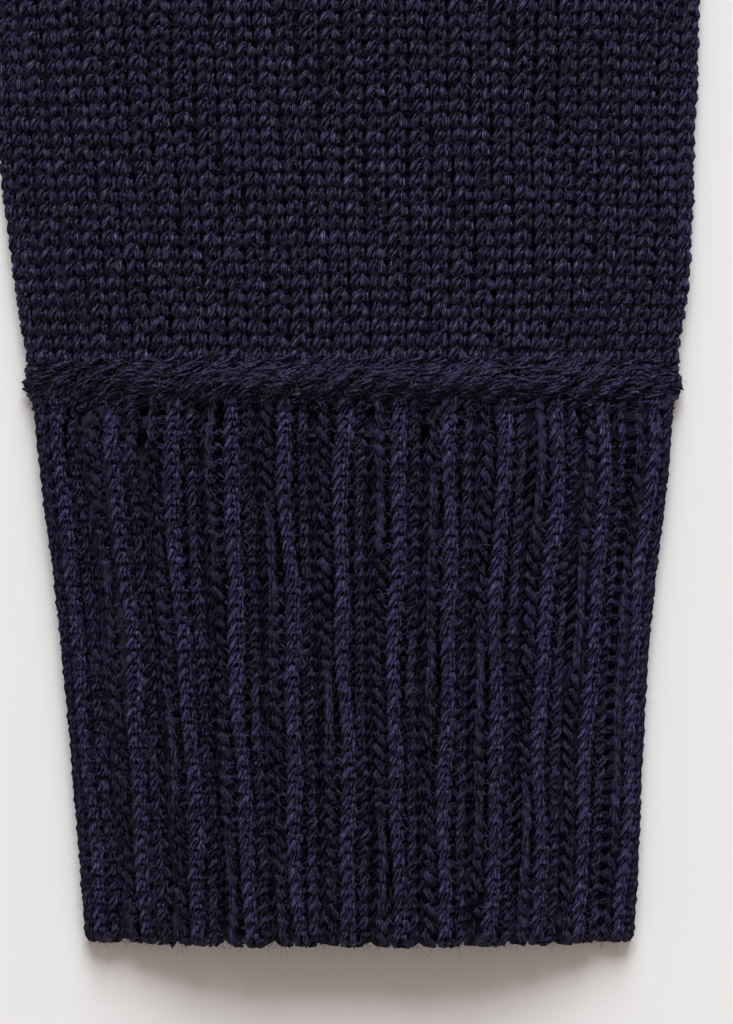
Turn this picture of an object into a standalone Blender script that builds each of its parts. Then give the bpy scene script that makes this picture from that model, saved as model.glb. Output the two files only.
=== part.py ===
"""Crew-neck pullover in thick wool knit, laid flat with its front up.

Lengths are in metres. X runs across the body, +Y from the hem to the neck, and +Z up from
the surface that the sweater lies on. Pattern heights are measured from the hem's edge, and
add_solid moves them so that the origin lies under the middle of the sweater.
"""

import math
from collections import namedtuple

import bmesh
import bpy
import numpy as np

Level = namedtuple("Level", "height half_width")
EdgePoint = namedtuple("EdgePoint", "along across")
Fold = namedtuple("Fold", "x y bearing length width height")

# Cloth: the plain knit's wall, and the ribbed knit's wall under its grooves
WALL = 0.0028
RIB_WALL = 0.0030
RIB_RELIEF = 0.0017
RIB_PITCH = 0.0085
GROOVE_SHARE = 0.36
SEAM_GAP = 0.0003

# Height of each tube's middle plane, where its upper and lower cloth meet at the sides
BODY_MID = 0.0032
HEM_MID = 0.0044
BAND_MID = 0.0040
CUFF_MID = 0.0060
SLEEVE_END_MID = 0.0046
LYING_GAP = 0.0004

# Width over which the cloth turns down at a fold edge
BODY_TURN = 0.006
HEM_TURN = 0.008
CUFF_INNER_TURN = 0.007
CUFF_OUTER_TURN = 0.016
INSET_REACH = 0.012

# Body pattern
HEM_HEIGHT = 0.065
HEM_EDGE_HALF_WIDTH = 0.232
BODY_SIDE = (
    Level(0.065, 0.2430),
    Level(0.085, 0.2510),
    Level(0.115, 0.2575),
    Level(0.180, 0.2615),
    Level(0.300, 0.2625),
    Level(0.430, 0.2620),
)
NECK_HALF_WIDTH = 0.095
NECK_POINT_HEIGHT = 0.690
FRONT_NECK_DEPTH = 0.090
BACK_NECK_DEPTH = 0.018

# Neckband: its free edge is narrower than its seam and stands this far above the neck points
BAND_EDGE_HALF_WIDTH = 0.081
BAND_RISE = 0.022
BAND_HEIGHT = 0.026

# Sleeve pattern, along from the cuff's edge and across from the sleeve's middle line
SLEEVE_ANGLE = math.radians(46)
INNER_EDGE = (
    EdgePoint(0.000, 0.0433),
    EdgePoint(0.018, 0.0447),
    EdgePoint(0.037, 0.0463),
    EdgePoint(0.056, 0.0482),
    EdgePoint(0.075, 0.0507),
    EdgePoint(0.092, 0.0524),
    EdgePoint(0.102, 0.0540),
    EdgePoint(0.125, 0.0569),
    EdgePoint(0.150, 0.0595),
    EdgePoint(0.300, 0.0745),
    EdgePoint(0.440, 0.0880),
)
OUTER_EDGE = (
    EdgePoint(0.000, 0.0431),
    EdgePoint(0.018, 0.0441),
    EdgePoint(0.037, 0.0449),
    EdgePoint(0.056, 0.0465),
    EdgePoint(0.075, 0.0487),
    EdgePoint(0.092, 0.0500),
    EdgePoint(0.102, 0.0515),
    EdgePoint(0.125, 0.0528),
    EdgePoint(0.150, 0.0538),
    EdgePoint(0.300, 0.0670),
    EdgePoint(0.440, 0.0790),
    EdgePoint(0.500, 0.0765),
    EdgePoint(0.560, 0.0625),
    EdgePoint(0.610, 0.0435),
    EdgePoint(0.641, 0.0310),
)
CUFF_LENGTH = 0.0849
CUFF_RIBS = 12
CUFF_RIB_SPREAD = 0.10
JOIN_LENGTH = 0.0066
JOIN_RELIEF = 0.0016
JOIN_SIDE_RELIEF = 0.0008

# Armhole curve: how far its two handles reach from the underarm and from the shoulder tip
ARMHOLE_UNDERARM_HANDLE = (-0.045, 0.012)
ARMHOLE_SHOULDER_HANDLE = (-0.012, -0.130)

# Largest folds of the upper cloth. Bearings are in degrees from +X.
FOLDS = (
    Fold(0.205, 0.425, 148, 0.200, 0.011, 0.0046),
    Fold(0.190, 0.365, 122, 0.170, 0.013, 0.0034),
    Fold(-0.212, 0.432, 30, 0.190, 0.010, 0.0048),
    Fold(-0.182, 0.352, 63, 0.210, 0.014, 0.0032),
    Fold(0.085, 0.210, 97, 0.240, 0.018, 0.0026),
    Fold(-0.060, 0.255, 84, 0.200, 0.016, 0.0022),
    Fold(-0.150, 0.180, 101, 0.180, 0.013, 0.0028),
    Fold(0.178, 0.170, 80, 0.160, 0.012, 0.0030),
    Fold(0.020, 0.500, 12, 0.180, 0.017, 0.0018),
    Fold(0.272, 0.515, -40, 0.120, 0.012, 0.0034),
    Fold(0.338, 0.432, 8, 0.110, 0.011, 0.0036),
    Fold(0.415, 0.430, -62, 0.130, 0.012, 0.0030),
    Fold(0.430, 0.345, 20, 0.090, 0.009, 0.0026),
    Fold(-0.280, 0.530, -138, 0.140, 0.012, 0.0036),
    Fold(-0.345, 0.425, 176, 0.120, 0.011, 0.0034),
    Fold(-0.400, 0.400, -115, 0.140, 0.013, 0.0030),
    Fold(-0.475, 0.320, 158, 0.100, 0.010, 0.0028),
)
FOLD_INSIDE_SHARE = 0.5
GATHER_COUNT = 15
GATHER_RELIEF = 0.0011
GATHER_REACH = 0.050

# Where rows and columns of the walls lie
TURN_STEPS = (0.0, 0.17, 0.47, 1.0)
ARMHOLE_UPPER_SHARES = (0.045, 0.10, 0.20, 0.32, 0.45, 0.58, 0.70, 0.81, 0.91)
ARMHOLE_LOWER_SHARES = (0.045, 0.10, 0.20, 0.34, 0.52, 0.75)
FRONT_LOW_HEIGHTS = (0.078, 0.095, 0.120, 0.150, 0.185, 0.220, 0.255, 0.290, 0.325, 0.357, 0.385, 0.410)
BACK_LOW_HEIGHTS = (0.095, 0.150, 0.250, 0.350)
FRONT_NECK_STEPS = 12
BACK_NECK_STEPS = 6
FRONT_SIDE_SHARES = (0.58, 0.70, 0.81, 0.91)
BACK_SIDE_SHARES = (0.65, 0.85)
SLEEVE_ROWS = 16
CUFF_ROWS = 6
JOIN_ROWS = 5
UNDERSIDE_SHARES = (0.985, 0.95, 0.88, 0.60, 0.35, 0.12, 0.05, 0.015)
SECTION_SAMPLES = 400

WOOL_COLOUR = (0.0190, 0.0160, 0.0400, 1.0)
WOOL_ROUGHNESS = 0.95


def columns_of(table):
    return tuple(np.array(column) for column in zip(*table))


def through(table, at):
    """Value at a place on the smooth curve through a table's rows."""
    places, values = columns_of(table)
    slopes = np.gradient(values, places)
    at = np.clip(at, places[0], places[-1])
    row = np.clip(np.searchsorted(places, at, side="right") - 1, 0, len(places) - 2)
    span = places[row + 1] - places[row]
    t = (at - places[row]) / span
    return (
        values[row] * (2 * t**3 - 3 * t**2 + 1)
        + slopes[row] * span * (t**3 - 2 * t**2 + t)
        + values[row + 1] * (3 * t**2 - 2 * t**3)
        + slopes[row + 1] * span * (t**3 - t**2)
    )


def turned(distance, turn):
    """Share of its full height that cloth has at a distance from a fold edge."""
    return np.sqrt(1 - (1 - np.clip(distance / turn, 0, 1)) ** 2)


def smooth_step(value):
    value = np.clip(value, 0, 1)
    return value * value * (3 - 2 * value)


def distance_to_path(points, path):
    start, run = path[:-1], np.diff(path, axis=0)
    offset = points[..., None, :] - start
    share = np.clip((offset * run).sum(-1) / (run**2).sum(-1), 0, 1)
    return np.linalg.norm(offset - share[..., None] * run, axis=-1).min(-1)


def along_path(path, share):
    """Point at a share of a path's length."""
    steps = np.linalg.norm(np.diff(path, axis=0), axis=1)
    reached = np.concatenate([[0], np.cumsum(steps)]) / steps.sum()
    return np.stack([np.interp(share, reached, path[:, axis]) for axis in (0, 1)], axis=-1)


# Sleeve frame: along points up the sleeve from the cuff, across away from the body
ALONG = np.array((-math.sin(SLEEVE_ANGLE), math.cos(SLEEVE_ANGLE)))
ACROSS = np.array((math.cos(SLEEVE_ANGLE), math.sin(SLEEVE_ANGLE)))
UNDERARM = np.array((BODY_SIDE[-1].half_width, BODY_SIDE[-1].height))
CUFF_MIDDLE = UNDERARM + ACROSS * INNER_EDGE[-1].across - ALONG * INNER_EDGE[-1].along


def sleeve_plan(across, along):
    across, along = np.asarray(across), np.asarray(along)
    return CUFF_MIDDLE + across[..., None] * ACROSS + along[..., None] * ALONG


SHOULDER_TIP = sleeve_plan(OUTER_EDGE[-1].across, OUTER_EDGE[-1].along)
NECK_POINT = np.array((NECK_HALF_WIDTH, NECK_POINT_HEIGHT))
SLEEVE_START = CUFF_LENGTH + SEAM_GAP + JOIN_LENGTH + SEAM_GAP
MIDDLE_HEIGHT = (NECK_POINT_HEIGHT + BAND_RISE) / 2


def armhole_path():
    corners = (
        UNDERARM,
        UNDERARM + ARMHOLE_UNDERARM_HANDLE,
        SHOULDER_TIP + ARMHOLE_SHOULDER_HANDLE,
        SHOULDER_TIP,
    )
    t = np.linspace(0, 1, SECTION_SAMPLES)[:, None]
    weights = ((1 - t) ** 3, 3 * t * (1 - t) ** 2, 3 * t**2 * (1 - t), t**3)
    return sum(weight * corner for weight, corner in zip(weights, corners))


def armhole_shares(middle_shares):
    """Shares of the armhole's length at which both the body and the sleeve have points."""
    edge = [step * BODY_TURN / ARMHOLE_LENGTH for step in TURN_STEPS]
    return np.array(edge + list(middle_shares) + [1 - share for share in reversed(edge)])


def inset(share, length, wall):
    """Share at which a wall's inner point lies: one wall in at both fold edges, and none far from them."""
    from_start = np.clip(1 - share * length / INSET_REACH, 0, 1)
    from_end = np.clip(1 - (1 - share) * length / INSET_REACH, 0, 1)
    return share + wall / length * (from_start - from_end)


ARMHOLE = armhole_path()
ARMHOLE_LENGTH = np.linalg.norm(np.diff(ARMHOLE, axis=0), axis=1).sum()


def inner_fold_edge():
    """The body's side and on down the inside of the sleeve."""
    heights = np.linspace(HEM_HEIGHT, UNDERARM[1], 40)
    side = np.stack([through(BODY_SIDE, heights), heights], axis=1)
    along = np.linspace(INNER_EDGE[-1].along, 0, 60)
    return np.concatenate([side, sleeve_plan(-through(INNER_EDGE, along), along)])


def outer_fold_edge():
    """The shoulder and on down the outside of the sleeve."""
    along = np.linspace(OUTER_EDGE[-1].along, 0, 90)
    return np.concatenate([[NECK_POINT], sleeve_plan(through(OUTER_EDGE, along), along)])


INNER_FOLD_EDGE = inner_fold_edge()
OUTER_FOLD_EDGE = outer_fold_edge()


def fold_height(points):
    """Height of the folds and of the gathers above the hem, at points of the plan."""
    total = np.zeros(points.shape[:-1])
    for fold in FOLDS:
        bearing = math.radians(fold.bearing)
        offset = points - (fold.x, fold.y)
        along = offset @ (math.cos(bearing), math.sin(bearing))
        across = offset @ (-math.sin(bearing), math.cos(bearing))
        taper = np.clip(1 - (2 * along / fold.length) ** 2, 0, None) ** 2
        total = np.maximum(total, fold.height * taper * np.exp(-((across / fold.width) ** 2)))
    above = (points[..., 1] - HEM_HEIGHT) / GATHER_REACH
    wave = np.cos(points[..., 0] / HEM_EDGE_HALF_WIDTH * math.pi * GATHER_COUNT / 2)
    return total + GATHER_RELIEF * smooth_step(above * 4) * np.clip(1 - above, 0, 1) * (1 + wave) / 2


def closed_mesh(outer, inner, around):
    """Faces of a wall between an outer and an inner grid of points, closed at its edges.

    The grids are rows by points. Where around is set, each row is a ring, and the inner
    grid may have fewer rows than the outer one.
    """
    count = outer.shape[1]
    points = np.concatenate([outer.reshape(-1, 3), inner.reshape(-1, 3)])
    first_inner = outer.shape[0] * count
    faces = []
    for start, rows in ((0, outer.shape[0]), (first_inner, inner.shape[0])):
        for row in range(rows - 1):
            for column in range(count if around else count - 1):
                here = start + row * count
                side = (column + 1) % count
                faces.append((here + column, here + side, here + count + side, here + count + column))
    last_outer = first_inner - count
    last_inner = len(points) - count
    for outer_row, inner_row in ((0, first_inner), (last_outer, last_inner)):
        for column in range(count if around else count - 1):
            side = (column + 1) % count
            faces.append((outer_row + column, outer_row + side, inner_row + side, inner_row + column))
    if not around:
        for row in range(outer.shape[0] - 1):
            for column in (0, count - 1):
                here = row * count + column
                faces.append((here, here + count, first_inner + here + count, first_inner + here))
    return points, faces


def add_solid(name, outer, inner, around, side=1):
    """One closed cloth wall as an object. A side of -1 mirrors it to the other arm."""
    points, faces = closed_mesh(outer, inner, around)
    points = (points - (0, MIDDLE_HEIGHT, 0)) * (side, 1, 1)
    mesh = bpy.data.meshes.new(name)
    mesh.from_pydata(points.tolist(), [], faces)
    shape = bmesh.new()
    shape.from_mesh(mesh)
    bmesh.ops.recalc_face_normals(shape, faces=shape.faces)
    shape.to_mesh(mesh)
    shape.free()
    mesh.shade_smooth()
    mesh.set_sharp_from_angle(angle=math.radians(50))
    mesh.materials.append(wool(name))
    solid = bpy.data.objects.new(name, mesh)
    PULLOVER.objects.link(solid)


def wool(name):
    material = bpy.data.materials.new(f"{name}_wool")
    material.use_nodes = True
    shader = material.node_tree.nodes["Principled BSDF"]
    shader.inputs["Base Color"].default_value = WOOL_COLOUR
    shader.inputs["Roughness"].default_value = WOOL_ROUGHNESS
    shader.inputs["Metallic"].default_value = 0.0
    return material


def with_height(plan, height):
    return np.concatenate([plan, np.broadcast_to(height, plan.shape[:-1])[..., None]], axis=-1)


def neck_shares(steps):
    """Columns at the neck opening, as shares of the row's half width."""
    angles = np.linspace(0, math.pi / 2, steps // 2 + 1)
    return list(np.sin(angles) * NECK_HALF_WIDTH / SHOULDER_TIP[0])


def body_columns(neck_steps, side_shares):
    edge = [1 - step * BODY_TURN / UNDERARM[0] for step in reversed(TURN_STEPS)]
    half = neck_shares(neck_steps) + list(side_shares) + edge
    return np.array([-share for share in reversed(half[1:])] + half)


def top_heights(columns, neck_depth):
    """Height of the panel's upper edge: the neckline, then the shoulders."""
    reach = np.abs(columns) * SHOULDER_TIP[0]
    in_neck = np.sqrt(np.clip(1 - (reach / NECK_HALF_WIDTH) ** 2, 0, 1))
    neckline = NECK_POINT_HEIGHT - neck_depth * in_neck
    fall = (NECK_POINT_HEIGHT - SHOULDER_TIP[1]) / (SHOULDER_TIP[0] - NECK_HALF_WIDTH)
    shoulder = NECK_POINT_HEIGHT - fall * (reach - NECK_HALF_WIDTH)
    return np.where(reach < NECK_HALF_WIDTH, neckline, shoulder)


def body_rows(columns, shares, low_heights, neck_depth, wall):
    """Plan of a body panel, one row for each height and then for each armhole point."""
    tops = top_heights(columns, neck_depth)
    rows = []
    for height in low_heights:
        half_width = through(BODY_SIDE, height) - wall
        rows.append(np.stack([columns * half_width, np.full(len(columns), height)], axis=1))
    in_neck = np.abs(columns) < NECK_HALF_WIDTH / SHOULDER_TIP[0] - 1e-6
    for share in shares:
        seam = along_path(ARMHOLE, inset(share, ARMHOLE_LENGTH, wall))
        neck_seam = along_path(ARMHOLE, share)
        x = np.where(in_neck, neck_seam[0], seam[0]) * columns
        y = np.where(in_neck, neck_seam[1], seam[1])
        risen = (y - UNDERARM[1]) / (SHOULDER_TIP[1] - UNDERARM[1])
        rows.append(np.stack([x, UNDERARM[1] + risen * (tops - UNDERARM[1])], axis=1))
    return np.stack(rows)


def body_fullness(plan, columns, low_count):
    """Share of full height over a body panel, with the panel's fold edges at none."""
    reach = np.abs(plan) * (1, 0) + plan * (0, 1)
    full = turned(distance_to_path(reach, INNER_FOLD_EDGE), BODY_TURN)
    full = full * turned(distance_to_path(reach, OUTER_FOLD_EDGE), BODY_TURN)
    full[: low_count + 1, [0, -1]] = 0
    full[-1, np.abs(columns) >= NECK_HALF_WIDTH / SHOULDER_TIP[0] - 1e-6] = 0
    return full


def add_body_front():
    columns = body_columns(FRONT_NECK_STEPS, FRONT_SIDE_SHARES)
    shares = armhole_shares(ARMHOLE_UPPER_SHARES)
    heights = (HEM_HEIGHT,) + FRONT_LOW_HEIGHTS
    plan = body_rows(columns, shares, heights, FRONT_NECK_DEPTH, 0)
    inside = body_rows(columns, shares, heights, FRONT_NECK_DEPTH, WALL)
    full = body_fullness(plan, columns, len(heights))
    fold = fold_height(plan)
    outer = BODY_MID + (BODY_MID + fold) * full
    inner = BODY_MID + (LYING_GAP + FOLD_INSIDE_SHARE * fold) * full
    add_solid("body_front", with_height(plan, outer), with_height(inside, inner), False)


def add_body_back():
    columns = body_columns(BACK_NECK_STEPS, BACK_SIDE_SHARES)
    shares = armhole_shares(ARMHOLE_LOWER_SHARES)
    heights = (HEM_HEIGHT,) + BACK_LOW_HEIGHTS
    plan = body_rows(columns, shares, heights, BACK_NECK_DEPTH, 0)
    inside = body_rows(columns, shares, heights, BACK_NECK_DEPTH, WALL)
    full = body_fullness(plan, columns, len(heights))
    edge = BODY_MID - SEAM_GAP
    outer = edge * (1 - full)
    inner = edge + (WALL - edge) * full
    add_solid("body_back", with_height(plan, outer), with_height(inside, inner), False)


def sleeve_row(row_share, across_shares, wall):
    """Plan of one sleeve row, between the sleeve's edges and bowed to the armhole's curve."""
    inner_along = SLEEVE_START + row_share * (INNER_EDGE[-1].along - SLEEVE_START)
    outer_along = SLEEVE_START + row_share * (OUTER_EDGE[-1].along - SLEEVE_START)
    start = sleeve_plan(-through(INNER_EDGE, inner_along), inner_along)
    end = sleeve_plan(through(OUTER_EDGE, outer_along), outer_along)
    shares = inset(across_shares, np.linalg.norm(end - start), wall)[:, None]
    straight = start + (end - start) * shares
    seam = along_path(ARMHOLE, inset(across_shares, ARMHOLE_LENGTH, wall))
    chord = UNDERARM + (SHOULDER_TIP - UNDERARM) * shares
    return straight + (seam - chord) * smooth_step((row_share - 0.55) / 0.45)


def armhole_gap(across_shares):
    """Steps off the armhole's curve, towards the sleeve, that leave the seam's gap."""
    step = 1e-3
    run = along_path(ARMHOLE, np.clip(across_shares + step, 0, 1))
    run = run - along_path(ARMHOLE, np.clip(across_shares - step, 0, 1))
    run = run / np.linalg.norm(run, axis=1)[:, None]
    return SEAM_GAP * np.stack([run[:, 1], -run[:, 0]], axis=1)


def add_sleeve(name, side):
    upper = armhole_shares(ARMHOLE_UPPER_SHARES)
    lower = armhole_shares(ARMHOLE_LOWER_SHARES)[-2:0:-1]
    ring = np.concatenate([upper, lower])
    is_upper = np.arange(len(ring)) < len(upper)
    edges = (ring == 0) | (ring == 1)
    outer_rows, inner_rows = [], []
    for row_share in smooth_rows(SLEEVE_ROWS):
        plan = sleeve_row(row_share, ring, 0)
        inside = sleeve_row(row_share, ring, WALL)
        if row_share == 1:
            gap = armhole_gap(ring)
            plan = plan + gap
            inside = inside + gap
        outer_turn = CUFF_OUTER_TURN + (BODY_TURN - CUFF_OUTER_TURN) * row_share
        full = turned(distance_to_path(plan, INNER_FOLD_EDGE), BODY_TURN)
        full = full * turned(distance_to_path(plan, OUTER_FOLD_EDGE), outer_turn)
        full[edges] = 0
        mid = SLEEVE_END_MID + (BODY_MID - SLEEVE_END_MID) * smooth_step(row_share * 1.5)
        fold = np.where(is_upper, fold_height(plan * (side, 1)), 0)
        away = np.where(is_upper, 1, -1)
        outer_rows.append(with_height(plan, mid + away * (mid + fold) * full))
        gap_height = mid - WALL + FOLD_INSIDE_SHARE * fold
        inner_rows.append(with_height(inside, mid + away * gap_height * full))
    add_solid(name, np.stack(outer_rows), np.stack(inner_rows), True, side)


def smooth_rows(count):
    """Row shares along a sleeve, a little closer at both ends."""
    even = np.linspace(0, 1, count)
    return even - 0.08 * np.sin(2 * math.pi * even)


def upper_section(left, right, left_turn, right_turn):
    """Curve over a lying tube from its left fold edge to its right one: across and share of full height."""
    share = (1 - np.cos(np.linspace(0, math.pi, SECTION_SAMPLES))) / 2
    across = -left + share * (left + right)
    full = turned(across + left, left_turn) * turned(right - across, right_turn)
    return np.stack([across, full], axis=1)


def section_at(section, height, shares):
    """Points of a section, at shares of its real length for a full height, and their outward normals."""
    curve = section * (1, height)
    points = along_path(curve, shares)
    step = 2e-3
    run = along_path(curve, np.clip(shares + step, 0, 1)) - along_path(curve, np.clip(shares - step, 0, 1))
    run = run / np.linalg.norm(run, axis=-1)[:, None]
    return points, np.stack([-run[:, 1], run[:, 0]], axis=1)


def rib_shares(count, spread=0.0):
    """Shares across a ribbed cloth and which of them lie in a groove: one groove between two ribs.

    The spread is by how much the first rib is wider, and the last one narrower, than the mean.
    """
    half_groove = GROOVE_SHARE / 2
    steps, grooves = [0.0], [0.0]
    for groove in range(1, count):
        steps += [groove - half_groove, groove, groove + half_groove]
        grooves += [0.0, 1.0, 0.0]
    even = np.array(steps + [count]) / count
    return even + spread * even * (1 - even), np.array(grooves + [0.0])


def ribbed_upper(section, height, shares, grooves, wall, gap, width):
    """Outer and inner points of ribbed cloth over a section: across and height over the middle plane."""
    smooth, normal = section_at(section, height, shares)
    outer = smooth - normal * grooves[:, None] * RIB_RELIEF
    inner = smooth * (1 - wall / width, gap / height)
    return outer, inner


def tube_ring(along, mid, top_height, gap, wall, side_relief, shares, grooves):
    """Outer and inner ring of the sleeve's tube at a distance from the cuff's edge."""
    left = through(INNER_EDGE, along) + side_relief
    right = through(OUTER_EDGE, along) + side_relief
    section = upper_section(left, right, CUFF_INNER_TURN, CUFF_OUTER_TURN)
    width = (left + right) / 2
    outer, inner = ribbed_upper(section, top_height, shares, grooves, wall, gap, width)
    under, _ = section_at(section, mid, np.array(UNDERSIDE_SHARES))
    outer = np.concatenate([outer, under * (1, -1)])
    inner = np.concatenate([inner, under * (1 - wall / width, -gap / mid)])
    return [
        with_height(sleeve_plan(ring[:, 0], np.full(len(ring), along)), mid + ring[:, 1])
        for ring in (outer, inner)
    ]


def add_cuff(name, side):
    shares, grooves = rib_shares(CUFF_RIBS, CUFF_RIB_SPREAD)
    gap = CUFF_MID - RIB_WALL - RIB_RELIEF
    rings = [
        tube_ring(along, CUFF_MID, CUFF_MID, gap, RIB_WALL + RIB_RELIEF, 0, shares, grooves)
        for along in np.linspace(0, CUFF_LENGTH, CUFF_ROWS)
    ]
    add_solid(name, np.stack([r[0] for r in rings]), np.stack([r[1] for r in rings]), True, side)


def add_cuff_join(name, side):
    """The raised roll where the sleeve is linked to its cuff."""
    shares = armhole_shares(ARMHOLE_UPPER_SHARES)
    grooves = np.zeros(len(shares))
    start = CUFF_LENGTH + SEAM_GAP
    gap = SLEEVE_END_MID - WALL
    rings = []
    for row in np.linspace(0, 1, JOIN_ROWS):
        swell = math.sin(math.pi * (0.12 + 0.76 * row))
        top = SLEEVE_END_MID + JOIN_RELIEF * swell
        along = start + JOIN_LENGTH * row
        rings.append(
            tube_ring(along, SLEEVE_END_MID, top, gap, WALL, JOIN_SIDE_RELIEF * swell, shares, grooves)
        )
    outer = np.stack([ring[0] for ring in rings])
    inner = np.stack([rings[0][1], rings[-1][1]])
    add_solid(name, outer, inner, True, side)


def hem_half_width(height):
    top = BODY_SIDE[0].half_width
    return HEM_EDGE_HALF_WIDTH + (top - HEM_EDGE_HALF_WIDTH) * height / HEM_HEIGHT


def add_hem_front():
    count = round(2 * HEM_EDGE_HALF_WIDTH / RIB_PITCH)
    shares, grooves = rib_shares(count)
    wall = RIB_WALL + RIB_RELIEF
    rows = []
    for height in (0, HEM_HEIGHT - SEAM_GAP):
        half = hem_half_width(height)
        section = upper_section(half, half, HEM_TURN, HEM_TURN)
        upper = HEM_MID - SEAM_GAP
        outer, inner = ribbed_upper(section, upper, shares, grooves, wall, LYING_GAP, half)
        rows.append(
            [
                np.stack([line[:, 0], np.full(len(line), height), HEM_MID + line[:, 1]], axis=1)
                for line in (outer, inner)
            ]
        )
    add_solid("hem_front", np.stack([r[0] for r in rows]), np.stack([r[1] for r in rows]), False)


def add_hem_back():
    shares = np.array((0.0,) + tuple(reversed(UNDERSIDE_SHARES)) + (1.0,))
    edge = HEM_MID - SEAM_GAP
    wall = edge - LYING_GAP
    rows = []
    for height in (0, HEM_HEIGHT - SEAM_GAP):
        half = hem_half_width(height)
        section = upper_section(half, half, HEM_TURN, HEM_TURN)
        line, _ = section_at(section, edge, shares)
        outer = np.stack([line[:, 0], np.full(len(line), height), edge - line[:, 1]], axis=1)
        inside = line * (1 - wall / half, LYING_GAP / edge)
        inner = np.stack([inside[:, 0], np.full(len(line), height), edge - inside[:, 1]], axis=1)
        rows.append((outer, inner))
    add_solid("hem_back", np.stack([r[0] for r in rows]), np.stack([r[1] for r in rows]), False)


def neck_paths(steps, neck_depth):
    """The neckline's corners and the band's free edge above them, from -X to +X."""
    half = neck_shares(steps)
    columns = np.array([-share for share in reversed(half[1:])] + half)
    seam = np.stack([columns * SHOULDER_TIP[0], top_heights(columns, neck_depth)], axis=1)
    side = columns * SHOULDER_TIP[0] / NECK_HALF_WIDTH
    depth = BAND_RISE + neck_depth - BAND_HEIGHT
    lift = NECK_POINT_HEIGHT + BAND_RISE - depth * np.sqrt(np.clip(1 - side**2, 0, 1))
    return seam, np.stack([side * BAND_EDGE_HALF_WIDTH, lift], axis=1)


def band_half(steps, neck_depth, shares, grooves, away):
    """Outer and inner points of the band's upper or lower half, each as seam and free edge rows."""
    seam, edge = neck_paths(steps, neck_depth)
    length = np.linalg.norm(np.diff(seam, axis=0), axis=1).sum()
    reach = np.minimum(shares, 1 - shares) * length
    full = turned(reach, BODY_TURN)
    full[[0, -1]] = 0
    corner_shares = np.linspace(0, 1, len(seam))
    reached = np.concatenate([[0], np.cumsum(np.linalg.norm(np.diff(seam, axis=0), axis=1))]) / length
    grids = []
    for wall, height in ((0, BAND_MID - grooves * RIB_RELIEF), (WALL, LYING_GAP)):
        corner = np.interp(inset(shares, length, wall), reached, corner_shares)
        low, high = (
            np.stack([np.interp(corner, corner_shares, path[:, axis]) for axis in (0, 1)], axis=1)
            for path in (seam, edge)
        )
        lift = (high - low) / np.linalg.norm(high - low, axis=1)[:, None]
        low = low + lift * SEAM_GAP
        z = BAND_MID + away * height * full
        grids.append((with_height(low, z), with_height(high, z)))
    return grids


def add_neckband():
    """A ring of ribbed cloth: its front half lies on its back half and both fold at the neck points."""
    front_seam, _ = neck_paths(FRONT_NECK_STEPS, FRONT_NECK_DEPTH)
    length = np.linalg.norm(np.diff(front_seam, axis=0), axis=1).sum()
    shares, grooves = rib_shares(round(length / RIB_PITCH))
    edge_shares = [step * BODY_TURN / length for step in TURN_STEPS[1:-1]]
    shares = np.concatenate([shares, edge_shares, [1 - share for share in edge_shares]])
    grooves = np.concatenate([grooves, np.zeros(2 * len(edge_shares))])
    order = np.argsort(shares)
    upper = band_half(FRONT_NECK_STEPS, FRONT_NECK_DEPTH, shares[order], grooves[order], 1)
    under_shares = np.array((0.0,) + tuple(reversed(UNDERSIDE_SHARES)) + (1.0,))
    under = band_half(BACK_NECK_STEPS, BACK_NECK_DEPTH, under_shares, np.zeros(len(under_shares)), -1)
    grids = []
    for upper_rows, under_rows in zip(upper, under):
        rings = [
            np.concatenate([below[:1], above[1:-1], below[:0:-1]])
            for above, below in zip(upper_rows, under_rows)
        ]
        grids.append(np.stack(rings))
    add_solid("neckband", grids[0], grids[1], True)


for old in list(bpy.data.objects):
    bpy.data.objects.remove(old, do_unlink=True)
PULLOVER = bpy.data.collections.new("pullover")
bpy.context.scene.collection.children.link(PULLOVER)

add_body_front()
add_body_back()
add_hem_front()
add_hem_back()
add_neckband()
for arm, mirror in (("left", 1), ("right", -1)):
    add_sleeve(f"sleeve_{arm}", mirror)
    add_cuff(f"cuff_{arm}", mirror)
    add_cuff_join(f"cuff_join_{arm}", mirror)
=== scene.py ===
"""Looks of a crew-neck pullover in dark wool knit, laid flat and seen close up at one cuff.

Lengths are in metres in the CAD part's frame: X across the body, +Y from hem to neck, +Z up.
The sleeve on +X also has a frame of its own: across points away from the body, and along
points from the cuff's edge up the sleeve. Near its cuff the yarn lies loop by loop on a bed,
the back of the knit painted dark as the shade between the loops. Further off, the stitches
are relief in the wool's material. A wale is a column of stitches, and wales are counted over
the upper side from the inner fold edge to the outer one.
"""

import math
from collections import namedtuple

import bmesh
import bpy
import numpy as np
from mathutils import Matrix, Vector


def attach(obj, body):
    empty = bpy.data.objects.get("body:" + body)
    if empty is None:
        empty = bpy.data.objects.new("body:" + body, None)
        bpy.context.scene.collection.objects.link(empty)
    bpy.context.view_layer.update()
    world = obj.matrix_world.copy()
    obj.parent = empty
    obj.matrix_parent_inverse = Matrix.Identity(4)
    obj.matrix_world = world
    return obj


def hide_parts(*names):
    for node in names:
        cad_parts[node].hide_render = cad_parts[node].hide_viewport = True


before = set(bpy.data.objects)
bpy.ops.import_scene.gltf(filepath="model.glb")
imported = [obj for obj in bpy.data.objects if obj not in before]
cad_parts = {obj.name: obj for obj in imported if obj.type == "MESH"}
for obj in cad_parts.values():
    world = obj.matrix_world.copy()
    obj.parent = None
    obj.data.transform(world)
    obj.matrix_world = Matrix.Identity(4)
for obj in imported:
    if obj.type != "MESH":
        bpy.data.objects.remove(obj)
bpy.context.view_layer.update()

EdgePoint = namedtuple("EdgePoint", "along across")
Wave = namedtuple("Wave", "size per_metre per_wale phase")
Stitch = namedtuple("Stitch", "pinch narrow tall deep tilt sink stray swell low")
Fuzz = namedtuple("Fuzz", "hairs stand longest edge_hairs")
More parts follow.
